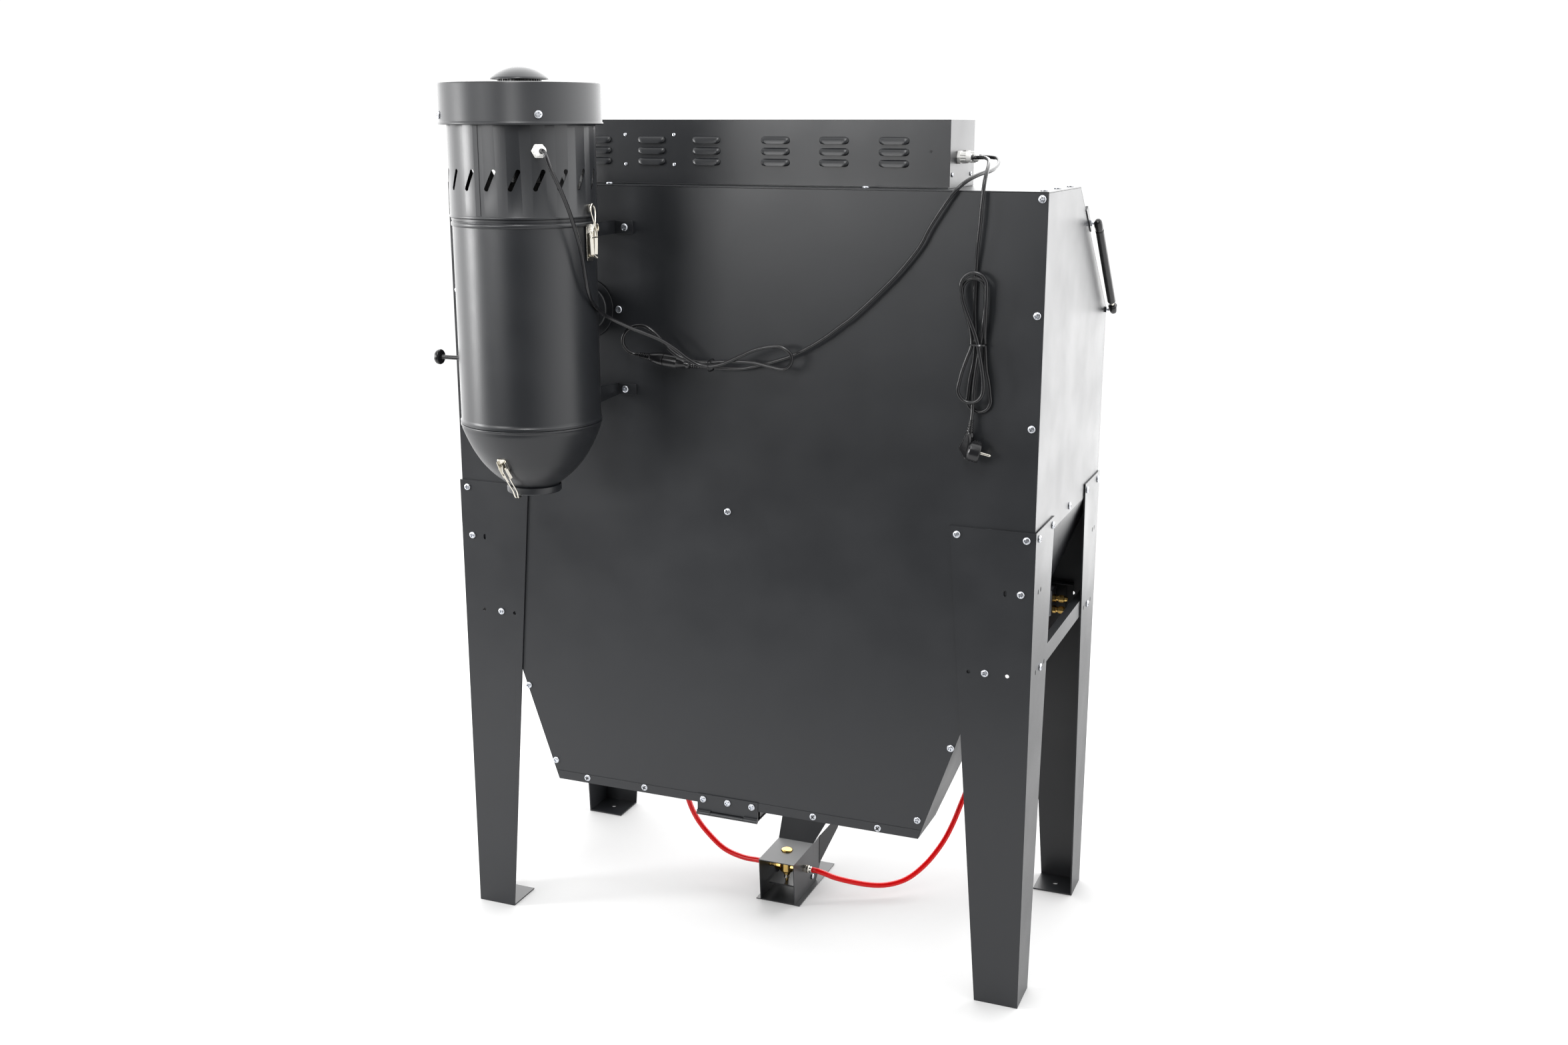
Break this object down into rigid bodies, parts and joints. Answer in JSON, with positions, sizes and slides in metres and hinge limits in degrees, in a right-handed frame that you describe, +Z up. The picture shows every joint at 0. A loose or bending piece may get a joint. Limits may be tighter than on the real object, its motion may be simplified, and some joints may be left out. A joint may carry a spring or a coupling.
{
  "type": "abrasive blast cabinet",
  "caption": "Floor-standing black sheet-steel blast cabinet with tapered hopper, sloped window lid, roof light box, rear dust collector and foot pedal valve.",
  "frame": {"origin": "centre of the footprint on the floor, leads and hoses left out", "axes": "+Z up; the operator stands at -Y and the collector hangs at +Y; +X is the operator's right"},
  "size_m": [1.2516, 0.9478, 1.757],
  "materials": {
    "powder_coat": "satin black powder coat",
    "zinc_plate": "zinc-plated steel",
    "nickel_plate": "nickel-plated steel",
    "brass": "machined brass",
    "black_plastic": "satin black plastic",
    "pale_plastic": "matte light grey nylon",
    "black_rubber": "matte rubber",
    "red_hose": "gloss red polyurethane",
    "clear_glass": "polished",
    "filter_paper": "pleated paper"
  },
  "bodies": {
    "cabinet": {"rear_panel": "powder_coat", "left_side_panel": "powder_coat", "right_side_panel": "powder_coat", "roof_panel": "powder_coat", "front_panel": "powder_coat", "hopper_left": "powder_coat", "hopper_right": "powder_coat", "hopper_front": "powder_coat", "cleanout_hinge": "powder_coat", "rear_left_leg": "powder_coat", "rear_right_leg": "powder_coat", "front_left_leg": "powder_coat", "front_right_leg": "powder_coat", "left_brace": "powder_coat", "right_brace": "powder_coat", "front_brace": "powder_coat", "work_grate": "zinc_plate", "lid_hinge_left": "powder_coat", "lid_hinge_right": "powder_coat", "light_box": "powder_coat", "lamp_tube": "clear_glass", "mains_gland": "pale_plastic", "lamp_gland": "pale_plastic", "collector_gland": "pale_plastic", "collector_canister": "powder_coat", "collector_head": "powder_coat", "collector_lid": "powder_coat", "dust_bowl": "powder_coat", "dust_cap": "powder_coat", "filter_cartridge": "filter_paper", "fan_motor": "black_plastic", "pedal_base": "powder_coat", "pedal_hood": "powder_coat", "pedal_valve": "brass", "blast_gun": "zinc_plate", "glove_left": "black_rubber", "glove_right": "black_rubber", "air_manifold": "brass", "mains_cord": "black_plastic", "mains_hank": "black_plastic", "mains_plug": "black_plastic", "collector_lead": "black_plastic", "lead_connector": "black_plastic", "lamp_lead": "black_plastic", "left_hose": "red_hose", "right_hose": "red_hose"},
    "lid": {"window_lid": "powder_coat", "window_glass": "clear_glass"},
    "strut_rod_left": {"strut_rod_left": "nickel_plate"},
    "strut_rod_right": {"strut_rod_right": "nickel_plate"},
    "strut_tube_left": {"strut_tube_left": "black_plastic"},
    "strut_tube_right": {"strut_tube_right": "black_plastic"},
    "cleanout_door": {"cleanout_door": "powder_coat"},
    "shaker": {"shaker_rod": "black_plastic"},
    "upper_latch_lever": {"upper_latch_lever": "nickel_plate"},
    "upper_latch_bail": {"upper_latch_bail": "nickel_plate"},
    "lower_latch_lever": {"lower_latch_lever": "nickel_plate"},
    "impeller": {"fan_impeller": "nickel_plate"},
    "treadle": {"treadle": "powder_coat"},
    "valve_plunger": {"valve_plunger": "brass"}
  },
  "joints": [
    {"name": "lid_hinge", "type": "hinge", "parent": "cabinet", "child": "lid", "pos_m": [0, -0.1566, 1.554], "axis": [-1, 0, 0], "range_deg": [0, 65]},
    {"name": "strut_rod_left_swing", "type": "hinge", "parent": "cabinet", "child": "strut_rod_left", "pos_m": [-0.617, -0.45847, 1.29047], "axis": [1, 0, 0], "range_deg": [0, 16.83]},
    {"name": "strut_tube_left_slide", "type": "slide", "parent": "strut_rod_left", "child": "strut_tube_left", "axis": [0, 0.741, 0.6715], "range_m": [0, 0.09378]},
    {"name": "strut_rod_right_swing", "type": "hinge", "parent": "cabinet", "child": "strut_rod_right", "pos_m": [0.617, -0.45847, 1.29047], "axis": [1, 0, 0], "range_deg": [0, 16.83]},
    {"name": "strut_tube_right_slide", "type": "slide", "parent": "strut_rod_right", "child": "strut_tube_right", "axis": [0, 0.741, 0.6715], "range_m": [0, 0.09378]},
    {"name": "cleanout_door_hinge", "type": "hinge", "parent": "cabinet", "child": "cleanout_door", "pos_m": [0.0065, 0.1144, 0.2977], "axis": [1, 0, 0], "range_deg": [0, 100]},
    {"name": "shaker_slide", "type": "slide", "parent": "cabinet", "child": "shaker", "axis": [1, 0, 0], "range_m": [0, 0.022]},
    {"name": "upper_latch_pivot", "type": "hinge", "parent": "cabinet", "child": "upper_latch_lever", "pos_m": [0.161, 0.3294, 1.484], "axis": [0, 1, 0], "range_deg": [0, 120]},
    {"name": "upper_bail_pivot", "type": "hinge", "parent": "upper_latch_lever", "child": "upper_latch_bail", "pos_m": [0.1565, 0.3294, 1.466], "axis": [0, 1, 0], "range_deg": [-120, 0]},
    {"name": "lower_latch_pivot", "type": "hinge", "parent": "cabinet", "child": "lower_latch_lever", "pos_m": [0.3, 0.4354, 1.066], "axis": [1, 0, 0], "range_deg": [0, 60]},
    {"name": "impeller_spin", "type": "hinge", "parent": "cabinet", "child": "impeller", "pos_m": [0.297, 0.3294, 1.536], "axis": [0, 0, 1], "continuous": true},
    {"name": "treadle_pivot", "type": "hinge", "parent": "cabinet", "child": "treadle", "pos_m": [-0.011, -0.2206, 0.022], "axis": [1, 0, 0], "range_deg": [0, 8], "stiffness_Nm_per_rad": 2, "springref_deg": -14.32},
    {"name": "plunger_slide", "type": "slide", "parent": "cabinet", "child": "valve_plunger", "axis": [0, 0, 1], "range_m": [0, 0.00682]}
  ],
  "couplings": [
    {"joint": "strut_rod_left_swing", "follows": "lid_hinge", "ratio": 0.25882},
    {"joint": "strut_tube_left_slide", "follows": "lid_hinge", "m_per_rad": 0.082645},
    {"joint": "strut_rod_right_swing", "follows": "lid_hinge", "ratio": 0.25882},
    {"joint": "strut_tube_right_slide", "follows": "lid_hinge", "m_per_rad": 0.082645},
    {"joint": "upper_bail_pivot", "follows": "upper_latch_pivot", "ratio": -1},
    {"joint": "plunger_slide", "follows": "treadle_pivot", "m_per_rad": 0.0487}
  ]
}
